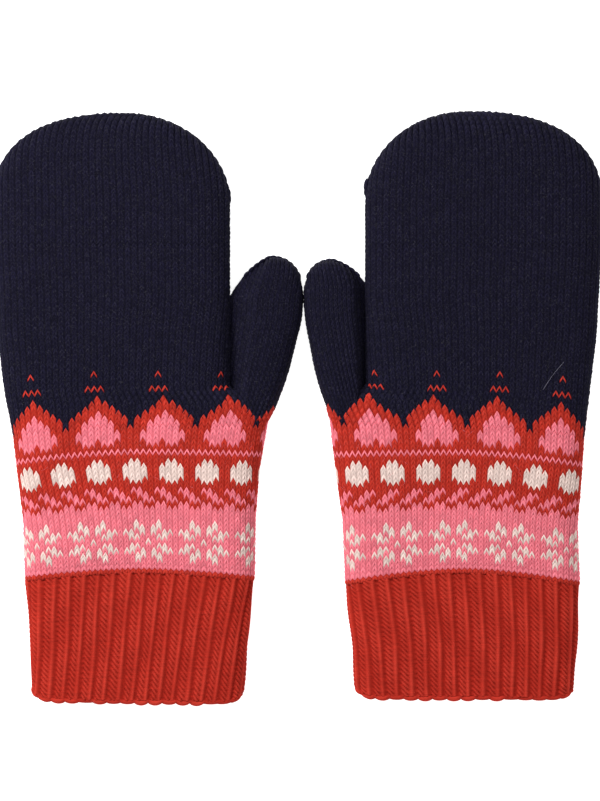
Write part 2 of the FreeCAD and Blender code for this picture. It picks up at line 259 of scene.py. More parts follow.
class MittenYarns(bpy.types.PropertyGroup):
    """Colours of the four wools."""

    navy: FloatVectorProperty(
        name="Navy", description="Hands, fingers and thumbs", subtype="COLOR",
        default=linear(28, 26, 47))
    rust: FloatVectorProperty(
        name="Rust", description="Cuffs and the ground of the hearts", subtype="COLOR",
        default=linear(200, 59, 45))
    pink: FloatVectorProperty(
        name="Pink", description="Hearts, waves and the ground of the stars", subtype="COLOR",
        default=linear(255, 138, 152))
    cream: FloatVectorProperty(
        name="Cream", description="Dots and stars", subtype="COLOR",
        default=linear(250, 225, 216))


class MittenStage(bpy.types.PropertyGroup):
    """Lights, floor and camera."""

    camera_height: FloatProperty(
        name="Camera Height", description="How high the camera hangs", default=2, unit="LENGTH")
    frame_height: FloatProperty(
        name="Frame Height", description="Length of floor seen from top to bottom",
        default=354.8 * MM, unit="LENGTH")
    sky: FloatProperty(name="Sky", description="Strength of the white surroundings", default=0.5)
    key: FloatProperty(
        name="Key Light", description="Power of the large soft lamp", default=10, unit="POWER")


# ---------------------------------------------------------------- shape of the cloth


def eased(stations, y, spread=2.5 * MM):
    """Value between stations given in millimetres, with the corners between them softened."""
    heights, values = np.array(stations).T
    near = (np.interp(y + shift, heights * MM, values) for shift in (-spread, 0, spread))
    return sum(near) / 3 * MM


def section_table(exponents, slimness=0.2, steps=4000):
    """One turn round a pillow-shaped tube: share of the way round, place across, place up."""
    flat, tall = exponents
    turn = np.linspace(0, 2 * math.pi, steps + 1)
    across = -np.sign(np.cos(turn)) * np.abs(np.cos(turn)) ** (2 / flat)
    up = np.sign(np.sin(turn)) * np.abs(np.sin(turn)) ** (2 / tall)
    step = np.hypot(np.diff(across), np.diff(up) * slimness)
    share = np.concatenate(([0], np.cumsum(step)))
    return share / share[-1], across, up


def rounded(y, start, tip, power):
    """What is left of a width where a side curves in to the tip, from 1 down to 0."""
    climb = np.clip((y - start) / (tip - start), 0, 1)
    return (1 - climb**power) ** (1 / power)


def closed_shape(y, inner, outer, middle, curves, tip, half_thickness, start):
    """Middle, half-width and half-thickness of a tube whose two sides curve in to its tip."""
    (inner_start, inner_power), (outer_start, outer_power) = curves
    inner = middle - (middle - inner) * rounded(y, inner_start, tip, inner_power)
    outer = middle + (outer - middle) * rounded(y, outer_start, tip, outer_power)
    climb = np.clip((y - start) / (tip - start), 0, 1)
    thin = (1 - climb**ROUND_OF_TIP) ** (1 / HAND_SECTION[1])
    return (inner + outer) / 2, (outer - inner) / 2, half_thickness * thin


def hand_tip_y(side):
    """Height of a mitten's tip."""
    return TIP_Y + HAND_TIP[side][2] * MM


def thumb_tip_y(side):
    """Height of a thumb's tip."""
    return THUMB_TIP_Y + THUMB_TIP[side][4] * MM


def hand_shape(side, y, inset):
    """Middle, half-width and half-thickness of the body of a mitten at height y."""
    inner = eased(INNER_EDGE[side], y, 0.8 * MM)
    outer = eased(OUTER_EDGE[side], y)
    inner_round, outer_round, _, top_out = HAND_TIP[side]
    curves = ((DOME_Y, inner_round), (DOME_Y, outer_round))
    middle = np.where(y > DOME_Y, top_out * MM, (inner + outer) / 2)
    return closed_shape(y, inner + inset, outer - inset, middle, curves, hand_tip_y(side) - inset,
                        eased(ROOM_THICKNESS, y) / 2 - inset, DOME_Y)


def thumb_shape(side, y, inset):
    """Middle, half-width and half-thickness of a thumb at height y."""
    edge, crease = eased(THUMB_EDGE[side], y), eased(THUMB_CREASE[side], y)
    free_round, crease_round, crotch, top_out, _ = THUMB_TIP[side]
    curves = ((THUMB_DOME_Y, free_round), (crotch * MM, crease_round))
    middle = np.where(y > THUMB_DOME_Y, top_out * MM, (edge + crease) / 2)
    return closed_shape(y, edge + inset, crease - inset, middle, curves,
                        thumb_tip_y(side) - inset,
                        eased(THUMB_THICKNESS, y) / 2 - inset, THUMB_DOME_Y)


def half_girth(shape):
    """Roughly half the way round a tube of this shape."""
    _, half_width, half_thickness = shape
    return 2 * half_width + 1.5 * half_thickness


def row_drop(side, y, across):
    """How far the cloth hangs below its row at this place across."""
    heights, *drops = np.array(ROW_DROP[side]).T * MM
    low_in, low_middle, low_out = (np.interp(y, heights, drop) for drop in drops)
    end = np.where(across < 0, low_in, low_out)
    low = low_middle + (end - low_middle) * np.abs(across) ** DROP_POWER
    at_edge = np.clip((CAST_ON_Y - y) / CORNER_REACH + 1, 0, 1)
    return low - CORNER_RISE * np.abs(across) ** CORNER_POWER * at_edge


def ripple(x, y):
    """Slow unevenness of cloth that lies flat."""
    a, b = x / MM, y / MM
    return RIPPLE * (
        np.sin(0.11 * a + 0.6) * np.cos(0.083 * b) + 0.7 * np.sin(0.17 * a + 0.12 * b))


def fold_index(columns):
    """Column numbers counted from the inner side, the same on the top and the underside."""
    number = np.arange(columns)
    return np.minimum(number, columns - 1 - number)


def centred_share(index, middle, seen):
    """Widths of columns when only those within seen of the middle still fit."""
    return np.clip(seen[:, None] / 2 - np.abs(index + 0.5 - middle) + 0.5, THINNEST_COLUMN, 1)


def on_section(table, turn):
    """Place across and place up on a tube at this share of the way round."""
    share, across, up = table
    return np.interp(turn, share, across), np.interp(turn, share, up)


def faces_between(low, high):
    """Faces that join each closed ring of point numbers in low to the same ring in high."""
    corners = [low, np.roll(low, -1, -1), np.roll(high, -1, -1), high]
    return np.stack(corners, -1).reshape(-1, 4)


class Tube:
    """A tube of cloth laid out as rows and columns of stitches."""

    def __init__(self, side, shape, section, columns, across_steps):
        self.side, self.shape, self.columns = side, shape, columns
        self.steps = across_steps
        self.table = section_table(section)
        self.lean = np.zeros(across_steps)
        self.twist = 0.0
        self.crease_sag = 0.0

    def lay(self, rows, height_of, widths_of, relief, inset):
        """Points of the cloth along the given row lines."""
        level = height_of(rows)
        widths = widths_of(level)
        edges = np.cumsum(widths, axis=1) - widths
        total = widths.sum(axis=1, keepdims=True)
        part = np.tile(np.arange(self.steps) / self.steps, self.columns)
        wide = np.repeat(widths, self.steps, axis=1)
        turn = (np.repeat(edges, self.steps, axis=1) + part * wide) / total
        if self.twist:
            turn = (turn + self.twist * (rows[-1] - rows[:, None]) / rows[-1]) % 1
        middle, half_width, half_thickness = self.shape(self.side, level[:, None], inset)
        whole = 2 * half_girth((middle, half_width, half_thickness))
        heights, towards_thumb = np.array(COLUMN_LEAN[self.side]).T * MM
        turn = (turn - np.interp(level, heights, towards_thumb)[:, None] / whole) % 1
        across, up = on_section(self.table, turn)
        calm = np.clip(half_width / NARROW, 0, 1)
        # Columns that are all but whole count as whole.
        lift = np.tile(self.lean, self.columns) * np.clip(wide * 1.02, 0, 1) * calm
        lift = lift * np.interp(rows, *LEAD_BY_ROW)[:, None]
        x = MEETING_X + WHICH_WAY[self.side] * (middle + half_width * across)
        y = height_of(rows[:, None] + lift) - row_drop(self.side, level[:, None], across)
        dip_start, dip_end = CREASE_DIP[self.side]
        near = np.clip((across - dip_start) / (dip_end - dip_start), 0, 1)
        depth = self.crease_sag * np.interp(y, (0, 12 * MM), (0.4, 1))
        sag = 1 - depth * near**2 * (3 - 2 * near)
        z = MID_Z + half_thickness * np.where(up > 0, up * sag, up)
        thick = np.minimum(half_thickness / MID_Z, 1)
        z = z + ripple(x, y) * np.maximum(up, 0) * thick
        points = np.stack([x, y, z], axis=-1)
        around = np.roll(points, -1, axis=1) - np.roll(points, 1, axis=1)
        along = np.gradient(points, axis=0)
        out = np.cross(around, along) * WHICH_WAY[self.side]
        out /= np.maximum(np.linalg.norm(out, axis=-1, keepdims=True), 1e-12)
        height = relief * np.clip(wide, 0, 1) * calm
        return points + out * height[..., None]


class Knitting:
    """Points, faces and yarn colours gathered for one piece."""

    def __init__(self, side):
        self.side = side
        self.points, self.faces, self.yarn, self.ply, self.pile = [], [], [], [], []
        self.count = 0

    def add(self, points, faces, yarn, ply=None, pile=None):
        """Adds points, faces of one size and the colour of each face."""
        points = np.reshape(points, (-1, 3))
        faces = np.asarray(faces)
        if WHICH_WAY[self.side] < 0:
            faces = faces[:, ::-1]
        self.points.append(points)
        self.faces.extend((faces + self.count).tolist())
        self.yarn.append(np.broadcast_to(yarn, (len(faces), 3)))
        self.ply.append(np.zeros((len(points), 3)) if ply is None else np.reshape(ply, (-1, 3)))
        # Points given no mask get the lining's painted shade.
        self.pile.append(np.full(len(points), LINING_UNSHADED) if pile is None else np.ravel(pile))
        self.count += len(points)

    def join(self, faces, yarn):
        """Adds faces between points that the piece already has."""
        self.add(np.zeros((0, 3)), np.asarray(faces) - self.count, yarn)

    def add_grid(self, points, yarn, ply=None, pile=None, inward=False):
        """Adds a ring-shaped grid of points and returns the numbers of its first and last ring."""
        start = self.count
        number = np.arange(points[..., 0].size).reshape(points.shape[:2])
        quads = faces_between(number[:-1], number[1:])
        self.add(points, quads[:, ::-1] if inward else quads, yarn, ply, pile)
        return start + number[0], start + number[-1]

    def add_rim(self, outer, inner, yarn, top):
        """Joins the end rings of the outside and the inside of a tube."""
        quads = faces_between(inner, outer)
        self.join(quads[:, ::-1] if top else quads, yarn)

    def add_cap(self, ring, yarn, inward=False):
        """Closes the tip of a tube, pairing the top of its last ring with the underside."""
        half = len(ring) // 2
        front, back = ring[: half + 1], np.concatenate([ring[:1], ring[:half - 1:-1]])
        quads = np.stack([front[1:-2], front[2:-1], back[2:-1], back[1:-2]], -1)
        ends = np.array([[ring[0], front[1], back[1]], [front[-2], ring[half], back[-2]]])
        for faces in (quads, ends):
            self.join(faces[:, ::-1] if inward else faces, yarn)

    def build(self, name, material):
        """Makes the mesh object with its yarn colours, strand directions and painted shade mask.
        """
        mesh = bpy.data.meshes.new(name)
        points = np.concatenate(self.points)
        mesh.from_pydata(points.tolist(), [], self.faces)
        mesh.shade_smooth()
        colour = np.concatenate(self.yarn)
        yarn = mesh.attributes.new("yarn", "FLOAT_COLOR", "FACE")
        yarn.data.foreach_set("color", np.c_[colour, np.ones(len(colour))].ravel())
        ply = mesh.attributes.new("ply", "FLOAT_VECTOR", "POINT")
        ply.data.foreach_set("vector", np.concatenate(self.ply).ravel())
        # Painted shade mask: 1 where no shade is painted, lower where the colour is darkened.
        pile = mesh.attributes.new("pile", "FLOAT", "POINT")
        pile.data.foreach_set("value", np.concatenate(self.pile))
        mesh.materials.append(material)
        item = bpy.data.objects.new(name, mesh)
        bpy.context.scene.collection.objects.link(item)
        return item


# ---------------------------------------------------------------- charts and stitches


def chart_letter(row, column):
    """Yarn of one stitch; rows count up from the wrist and columns from the inner side."""
    from_heart = abs((column - 3) % 10 - 5)
    dot, star = (column - 3) % 6, (column + 3) % 10
    if row >= 37:
        return "R" if from_heart <= SPOT_REACH.get(row, -1) else "N"
    if row >= 27:
        below_peak = 36 - row
        inside = below_peak >= 3 and from_heart <= 3
        if inside and HEART_CHART[below_peak - 3][from_heart + 3] == "P":
            return "P"
        return "R" if from_heart <= HEART_REACH[below_peak] else "N"
    if row < 0 or row in RUST_ROWS:
        return "R"
    if 19 <= row <= 23:
        return "C" if dot < 4 and DOT_CHART[23 - row][dot] == "C" else "R"
    if 14 <= row <= 17:
        return "P" if WAVE_CHART[17 - row][3 - column % 4] == "P" else "R"
    if 2 <= row <= 10 and star < 9 and STAR_CHART[10 - row][star] == "C":
        return "C"
    return "P"


def yarn_of(letter):
    """Colour of the yarn that a chart letter names."""
    yarns = bpy.context.scene.mitten_yarns
    return {"N": yarns.navy, "R": yarns.rust, "P": yarns.pink, "C": yarns.cream}[letter]


def stitch_colours(lines, columns, letter_at, dice):
    """Colour of each cell between row lines; a dark row closes over the edge of a pale one."""
    rows = np.arange(int(lines[0]) - 1, int(lines[-1]) + 3)
    colours = np.array(
        [[yarn_of(letter_at(row, column)) for column in range(columns)] for row in rows])
    light = colours.sum(axis=2)
    colours = colours * dice.normal(1, YARN_UNEVENNESS, (len(rows), columns, 1))
    middle = (lines[:-1] + lines[1:]) / 2
    own = np.floor(middle + 1e-6).astype(int) - rows[0]
    part = middle % 1
    thin = np.isin(own + rows[0], THIN_ROWS)
    beside = own + np.where((part < 0.25) & thin, -1, np.where(part > 0.75, 1, 0))
    darker = light[beside] < light[own]
    return np.where(darker[..., None], colours[beside], colours[own])


def stitch_relief(lines, columns, dice):
    """Height of each lattice point over the cloth, from 0 in the grooves to 1 on the legs."""
    across, up = np.array(LEG_ACROSS), np.interp(lines % 1, *LEG_UP)
    height = np.tile(across[None, :] * (0.35 + 0.65 * up[:, None]), (1, columns))
    first = int(lines[0])
    uneven = dice.normal(1, STITCH_UNEVENNESS, (int(lines[-1]) + 2 - first, columns))
    uneven = uneven[np.floor(lines + 1e-6).astype(int) - first]
    return np.clip(height * np.repeat(uneven, len(across), axis=1), 0, 1.3)


def strand_map(rows, columns, across_steps):
    """Column and row coordinates that lead the fibres along each leg of a stitch."""
    place = np.arange(columns * across_steps) / across_steps
    column, row = np.broadcast_arrays(place, rows)
    return np.stack([column, row, np.zeros_like(row)], -1)


def knit_tube(tube, rows, letter_at, widths_of, dice, closed=False):
    """Knits a tube with its stitches and a plain lining; returns it and its outer points."""
    sizes = bpy.context.scene.mitten_knitting
    inset = sizes.stitch_relief
    piece = Knitting(tube.side)
    colours = stitch_colours(rows, tube.columns, letter_at, dice)
    relief = stitch_relief(rows, tube.columns, dice)
    points = tube.lay(rows, band_height, widths_of, relief * inset, inset)
    yarn = np.repeat(colours, tube.steps, axis=1)
    ply = strand_map(rows[:, None], tube.columns, tube.steps)
    # The stitch heights double as the painted shade mask, darkening the grooves between the legs.
    low, high = piece.add_grid(points, yarn.reshape(-1, 3), ply, relief)
    short = sizes.wall / sizes.plain_row if closed else 0
    inner_rows = np.linspace(rows[0], rows[-1] - short, LINING_ROWS)
    inside = tube.lay(inner_rows, band_height, widths_of, 0, inset + sizes.wall)
    lining = yarn_of("N") if closed else np.mean(colours.reshape(-1, 3), axis=0)
    inner_low, inner_high = piece.add_grid(inside, lining, inward=True)
    piece.add_rim(low, inner_low, yarn[0], top=False)
    if closed:
        piece.add_cap(high, yarn_of("N"))
        piece.add_cap(inner_high, yarn_of("N"), inward=True)
    else:
        piece.add_rim(high, inner_high, yarn[-1], top=True)
    return piece, points


def add_fluff(piece, points, count, dice, colour, pale=1.9):
    """Short stray fibres that lie loosely over the stitches."""
    if not count:
        return
    row = dice.integers(1, points.shape[0] - 2, count)
    column = dice.integers(0, points.shape[1], count)
    root = points[row, column]
    along = points[row + 1, column] - points[row - 1, column]
    around = points[row, (column + 2) % points.shape[1]] - points[row, column - 2]
    out = np.cross(around, along) * WHICH_WAY[piece.side]
    good = np.linalg.norm(out, axis=1) > 1e-9
    root, along, out = root[good], along[good], out[good]
    out /= np.linalg.norm(out, axis=1, keepdims=True)
    along /= np.linalg.norm(along, axis=1, keepdims=True)
    angle = dice.uniform(0, 2 * math.pi, len(root))[:, None]
    heading = along * np.cos(angle) + np.cross(out, along) * np.sin(angle)
    bend = np.cross(out, heading)
    length, rise, curl = (
        dice.uniform(low, high, len(root))[:, None] * MM for low, high in FIBRE_RANGES)
    rings = []
    for share in (0, 0.3, 0.65, 1):
        centre = root + heading * length * share + bend * curl * share**2
        centre = centre + out * (rise * math.sin(math.pi * (0.15 + 0.8 * share)) - 0.1 * MM)
        centre[:, 2] = np.maximum(centre[:, 2], FIBRE_RADIUS)
        for corner in range(3):
            turn = corner * 2 * math.pi / 3
            rings.append(centre + (bend * math.cos(turn) + out * math.sin(turn)) * FIBRE_RADIUS)
    fibres = np.stack(rings, axis=1)
    number = np.arange(len(rings)).reshape(-1, 3)
    quads = faces_between(number[:-1], number[1:])
    ends = np.array([number[0][::-1], number[-1]])
    first = (np.arange(len(root)) * len(rings))[:, None, None]
    tint = np.clip(np.array(colour) * pale + 0.012, 0, 1)
    shade = np.clip(tint * dice.uniform(0.7, 1.25, (len(root), 1)), 0, 1)
    flip = slice(None, None, WHICH_WAY[piece.side])
    start = piece.count
    piece.add(fibres, (first + quads).reshape(-1, 4)[:, flip],
              np.repeat(shade, len(quads), axis=0), pile=np.ones(fibres[..., 0].size))
    piece.join((first + ends).reshape(-1, 3)[:, flip] + start, np.repeat(shade, 2, axis=0))


def add_hair(piece, start, end, bow, colour):
    """One long stray hair that lies over the cloth in a bow."""
    share = np.linspace(0, 1, 14)[:, None]
    along = end - start
    aside = np.array([-along[1], along[0], 0])
    centres = start + along * share + aside * bow * np.sin(math.pi * share)
    aside = aside / np.linalg.norm(aside)
    turns = np.arange(4)[:, None] * math.pi / 2
    ring = aside * np.cos(turns) + UPRIGHT * np.sin(turns)
    number = np.arange(len(share) * len(ring)).reshape(-1, len(ring))
    faces = np.r_[faces_between(number[:-1], number[1:]), [number[0][::-1], number[-1]]]
    piece.add(centres[:, None] + ring * HAIR_RADIUS, faces, colour, pile=np.ones(number.size))


def add_strand(piece, y, inset, section, radius, corners, yarn, ply, pile=None):
    """A strand that runs once round a mitten, inside its outer face."""
    across, up = section
    way = WHICH_WAY[piece.side]
    middle, half_width, half_thickness = hand_shape(piece.side, y, inset)
    centre = np.stack([
        MEETING_X + way * (middle + half_width * across), y, MID_Z + half_thickness * up], -1)
    outward = np.stack([way * across, 0 * across, up], -1)
    outward /= np.linalg.norm(outward, axis=1, keepdims=True)
    along = np.array([0, 1, 0])
    rings = np.stack([
        centre + (outward * math.cos(angle) + along * math.sin(angle)) * radius
        for angle in np.arange(corners) * 2 * math.pi / corners])
    number = np.arange(corners * len(y)).reshape(corners, -1)
    piece.add(rings, faces_between(number, np.roll(number, -1, axis=0)), yarn, ply, pile)


# ---------------------------------------------------------------- wool material


def link(tree, source, target):
    """Joins two sockets."""
    tree.links.new(source, target)


def math_node(tree, operation, first, second, clamp=False):
    """A maths node fed by sockets or plain numbers."""
    node = tree.nodes.new("ShaderNodeMath")
    node.operation, node.use_clamp = operation, clamp
    for socket, value in zip(node.inputs, (first, second)):
        if isinstance(value, (int, float)):
            socket.default_value = value
        else:
            link(tree, value, socket)
    return node.outputs[0]


def noise(tree, place, scale, detail, **more):
    """Value of a noise texture at the given coordinates."""
    node = tree.nodes.new("ShaderNodeTexNoise")
    for name, value in {"Scale": scale, "Detail": detail, **more}.items():
        node.inputs[name].default_value = value
    link(tree, place, node.inputs["Vector"])
    return node.outputs[0]


def wool_group():
    """Spun wool: fibres along each strand, painted shade in the grooves, pale fluff and a little
    heather.
    """
    found = bpy.data.node_groups.get("Spun Wool")
    if found:
        return found
    group = bpy.data.node_groups.new("Spun Wool", "ShaderNodeTree")
    sockets = group.interface
    for name, kind, default in (
        ("Yarn", "NodeSocketColor", None), ("Ply", "NodeSocketVector", None),
        ("Unshaded", "NodeSocketFloat", 1.0), ("Fibre Contrast", "NodeSocketFloat", 0.4),
        ("Groove Shade", "NodeSocketFloat", 0.5), ("Fluff", "NodeSocketFloat", 0.1),
        ("Heather", "NodeSocketFloat", 0.15),
    ):
        socket = sockets.new_socket(name, in_out="INPUT", socket_type=kind)
        if default is not None:
            socket.default_value = default
    for name, kind in (("Colour", "NodeSocketColor"), ("Roughness", "NodeSocketFloat"),
                       ("Height", "NodeSocketFloat")):
        sockets.new_socket(name, in_out="OUTPUT", socket_type=kind)
    given = group.nodes.new("NodeGroupInput").outputs
    result = group.nodes.new("NodeGroupOutput").inputs

    def plus(first, second):
        return math_node(group, "ADD", first, second)

    def less(first, second, clamp=False):
        return math_node(group, "SUBTRACT", first, second, clamp)

    def times(first, second):
        return math_node(group, "MULTIPLY", first, second)

    split = group.nodes.new("ShaderNodeSeparateXYZ")
    link(group, given["Ply"], split.inputs[0])
    column, row = split.outputs[0], split.outputs[1]
    lines = group.nodes.new("ShaderNodeCombineXYZ")
    link(group, times(column, 2.2), lines.inputs[0])
    link(group, plus(times(row, 7.0), times(column, 5.0)), lines.inputs[1])
    place = group.nodes.new("ShaderNodeTexCoord").outputs["Object"]
    fibres = noise(group, lines.outputs[0], 1.0, 3.0, Roughness=0.6)
    heather = noise(group, place, 420.0, 4.0, Roughness=0.7)
    fluff = noise(group, place, 1500.0, 2.0, Distortion=1.5)

    fibre_tone = times(less(fibres, 0.5), given["Fibre Contrast"])
    heather_tone = times(less(heather, 0.5), given["Heather"])
    # Painted shade: where the cloth lies low between the stitches, the colour is darkened as if
    # shaded.
    painted_shade = times(less(1.0, given["Unshaded"], clamp=True), given["Groove Shade"])
    tone = plus(plus(fibre_tone, heather_tone), 1.0)
    tone = times(tone, less(1.0, painted_shade, clamp=True))
    # Painted shade: in the grooves the colour is also deepened to a more saturated tone.
    shade_deepened = group.nodes.new("ShaderNodeGamma")
    link(group, given["Yarn"], shade_deepened.inputs["Color"])
    link(group, plus(times(painted_shade, 0.5), 1.0), shade_deepened.inputs["Gamma"])
    toned = group.nodes.new("ShaderNodeVectorMath")
    toned.operation = "SCALE"
    link(group, shade_deepened.outputs[0], toned.inputs[0])
    link(group, tone, toned.inputs["Scale"])
    pale = group.nodes.new("ShaderNodeMix")
    pale.data_type = "RGBA"
    link(group, times(less(fluff, 0.55, clamp=True), given["Fluff"]), pale.inputs["Factor"])
    link(group, toned.outputs[0], pale.inputs[6])
    pale.inputs[7].default_value = (0.75, 0.72, 0.75, 1)
    link(group, pale.outputs[2], result["Colour"])
    link(group, plus(times(heather, 0.2), 0.78), result["Roughness"])
    link(group, plus(fibres, times(heather, 0.6)), result["Height"])
    return group


def wool(name):
    """One of the wool materials; the yarn colours themselves come from the stitches."""
    material = bpy.data.materials.get(name)
    if material:
        return material
    contrast, groove, fluff, heather, sheen = WOOLS[name]
    material = bpy.data.materials.new(name)
    material.use_nodes = True
    tree = material.node_tree
    shader = tree.nodes["Principled BSDF"]
    spun = tree.nodes.new("ShaderNodeGroup")
    spun.node_tree = wool_group()
    # The pile attribute carries the painted shade mask into the shader.
    for attribute, output, socket in (
        ("yarn", "Color", "Yarn"), ("ply", "Vector", "Ply"), ("pile", "Fac", "Unshaded"),
    ):
        node = tree.nodes.new("ShaderNodeAttribute")
        node.attribute_name = attribute
        link(tree, node.outputs[output], spun.inputs[socket])
    for socket, value in (("Fibre Contrast", contrast), ("Groove Shade", groove),
                          ("Fluff", fluff), ("Heather", heather)):
        spun.inputs[socket].default_value = value
    relief = tree.nodes.new("ShaderNodeBump")
    relief.inputs["Strength"].default_value = 0.35
    relief.inputs["Distance"].default_value = 0.25 * MM
    link(tree, spun.outputs["Height"], relief.inputs["Height"])
    link(tree, relief.outputs["Normal"], shader.inputs["Normal"])
    link(tree, spun.outputs["Colour"], shader.inputs["Base Color"])
    link(tree, spun.outputs["Roughness"], shader.inputs["Roughness"])
    shader.inputs["Specular IOR Level"].default_value = 0.08
    shader.inputs["Sheen Weight"].default_value = sheen
    shader.inputs["Sheen Roughness"].default_value = 0.45
    return material


# ---------------------------------------------------------------- heights and widths


def band_height(row):
    """Height along the mitten of a row counted from the wrist, in the two gauges."""
    sizes = bpy.context.scene.mitten_knitting
    patterned = np.minimum(row, CHART_ROWS) * sizes.pattern_row
    return WRIST_Y + patterned + np.maximum(row - CHART_ROWS, 0) * sizes.plain_row


def cuff_height(row):
    """Height along the mitten of a row of the cuff."""
    return CAST_ON_Y + row * CUFF_ROW


def cuff_widths(y):
    """Relative widths of the ribs, which waver a little up the cuff."""
    rib = np.arange(CUFF_RIBS)
    wobble = np.sin(y[:, None] / (9 * MM) + rib * 2.4)
    return 1 + 0.07 * wobble + 0.05 * np.sin(rib * 5.1)


def crowding(low, high, y, start, end):
    """How much the sides of the patterned cloth are drawn in, column by column."""
    amount = np.interp(y, (start * MM, end * MM), (low, high))[:, None]
    return 1 + amount * np.cos(4 * math.pi * (np.arange(BAND_COLUMNS) + 0.5) / BAND_COLUMNS)


def band_widths(side):
    """Relative column widths of the patterned band."""
    return lambda y: crowding(0.04, HEART_CROWDING[side], y, -62, -14)


def hand_widths(side, inset):
    """Relative column widths of the hand, whose inner columns leave for the thumb."""
    index = fold_index(BAND_COLUMNS)
    start = half_girth(hand_shape(side, np.array([-7 * MM]), inset)) / (BAND_COLUMNS // 2)

    def widths(y):
        girth = half_girth(hand_shape(side, y, inset))
        change = np.interp(y, (-7 * MM, 12 * MM, 50 * MM), (0, 0.45, 1))
        gauge = start * (1 - change) + girth / PLAIN_COLUMNS * change
        left = girth / gauge - PLAIN_COLUMNS
        gusset = np.clip(left[:, None] - (GUSSET_COLUMNS - 1 - index), THINNEST_COLUMN, 1)
        crowded = crowding(HEART_CROWDING[side], 0, y, -7, 25)
        return np.where(index < GUSSET_COLUMNS, gusset, 1) * crowded

    return widths


def finger_widths(side, inset):
    """Relative column widths of the fingers: straight columns cut short by the round tip."""
    index = fold_index(BAND_COLUMNS)
    full = half_girth(hand_shape(side, np.array([DOME_Y]), inset))[0]

    def widths(y):
        part = np.minimum(half_girth(hand_shape(side, y, inset)) / full, 1)
        seen = PLAIN_COLUMNS * np.where(y > DOME_Y, part, 1)
        shares = centred_share(index, GUSSET_COLUMNS + PLAIN_COLUMNS / 2, seen)
        return np.where(index < GUSSET_COLUMNS, THINNEST_COLUMN, shares)

    return widths


def thumb_widths(side, inset):
    """Relative column widths of a thumb, counted from its free edge."""
    index = fold_index(THUMB_COLUMNS)
    full = half_girth(thumb_shape(side, np.array([THUMB_DOME_Y]), inset))[0]

    def widths(y):
        seen = THUMB_COLUMNS / 2 * np.minimum(half_girth(thumb_shape(side, y, inset)) / full, 1)
        below = np.clip(seen[:, None] - index, THINNEST_COLUMN, 1)
        above = centred_share(index, THUMB_COLUMNS / 4, seen)
        return np.where((y > THUMB_DOME_Y)[:, None], above, below)

    return widths


def stitch_tube(side, shape, section, columns):
    """A tube whose stitches have two legs that climb to a point in the middle."""
    tube = Tube(side, shape, section, columns, len(LEG_ACROSS))
    across = np.arange(tube.steps) / tube.steps
    tube.lean = (0.5 - np.abs(2 * across - 1)) * bpy.context.scene.mitten_knitting.leg_lean
    return tube


def tip_rows(first, tip):
    """Row lines from the first row up to a round tip, closer together at the very end."""
    sizes = bpy.context.scene.mitten_knitting
    last = (tip - sizes.stitch_relief - band_height(CHART_ROWS)) / sizes.plain_row + CHART_ROWS
    lines = np.arange(first, last - 0.35, 1 / PLAIN_STEPS)
    return np.r_[lines, last - np.array([0.28, 0.18, 0.1, 0.04, 0.01])]


def ribbing(side, rows, dice):
    """Relief of the ribs, their painted shade mask and how far along its slanted strokes each
    point is.
    """
    sizes = bpy.context.scene.mitten_knitting
    steps = len(RIB_ACROSS)
    way = WHICH_WAY[side]
    place = np.arange(steps) / steps
    ribs = np.tile(RIB_ACROSS[::way], CUFF_RIBS)
    strokes = np.tile(STROKE_ACROSS[::way], CUFF_RIBS)
    phase = rows[:, None] + STROKE_LEAN * np.tile(place if way > 0 else 1 - place, CUFF_RIBS)
    phase = phase + np.repeat(dice.uniform(0, 1, CUFF_RIBS), steps)
    cut = (0.5 + 0.5 * np.cos(2 * math.pi * phase)) ** 3
    uneven = dice.normal(1, 0.08, (len(rows) // CUFF_STEPS + 1, CUFF_RIBS))
    uneven = np.repeat(uneven, CUFF_STEPS, axis=0)[: len(rows)]
    uneven = np.repeat(uneven, steps, axis=1)
    wander = np.sin(phase[:, :1] * 0.4 + np.repeat(np.arange(CUFF_RIBS) * 1.7, steps))
    relief = ribs * sizes.rib_relief * (0.85 + 0.15 * wander)
    relief = relief - strokes * cut * sizes.stroke_relief * uneven
    tuck = np.clip((CUFF_ROWS - 0.6 - rows) / 0.8, 0, 1)[:, None]
    relief = relief * (0.2 + 0.8 * tuck)
    # Painted shade: the grooves between the ribs and the cuts between the strokes are darkened.
    pile = np.clip(relief / sizes.rib_relief - 0.5 * cut * strokes, 0, 1)
    return relief, pile, phase


def finished(piece, name, wool_name, node):
    """Makes a piece with its wool material and hides the frame node that it stands in for."""
    item = piece.build(f"{piece.side}_{name}", wool(wool_name))
    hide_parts(f"{piece.side}_{node}")
    return item


def dice_for(piece, side):
    """Dice that always fall the same way for this piece."""
    return np.random.default_rng(SEEDS[piece] + WHICH_WAY[side])


def bend_at_wrist(item):
    """Bakes the placement of the piece into its points."""
    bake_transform(item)


def bend_at_fingers(item):
    """Bakes the placement of the piece into its points."""
    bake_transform(item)


# ---------------------------------------------------------------- operators


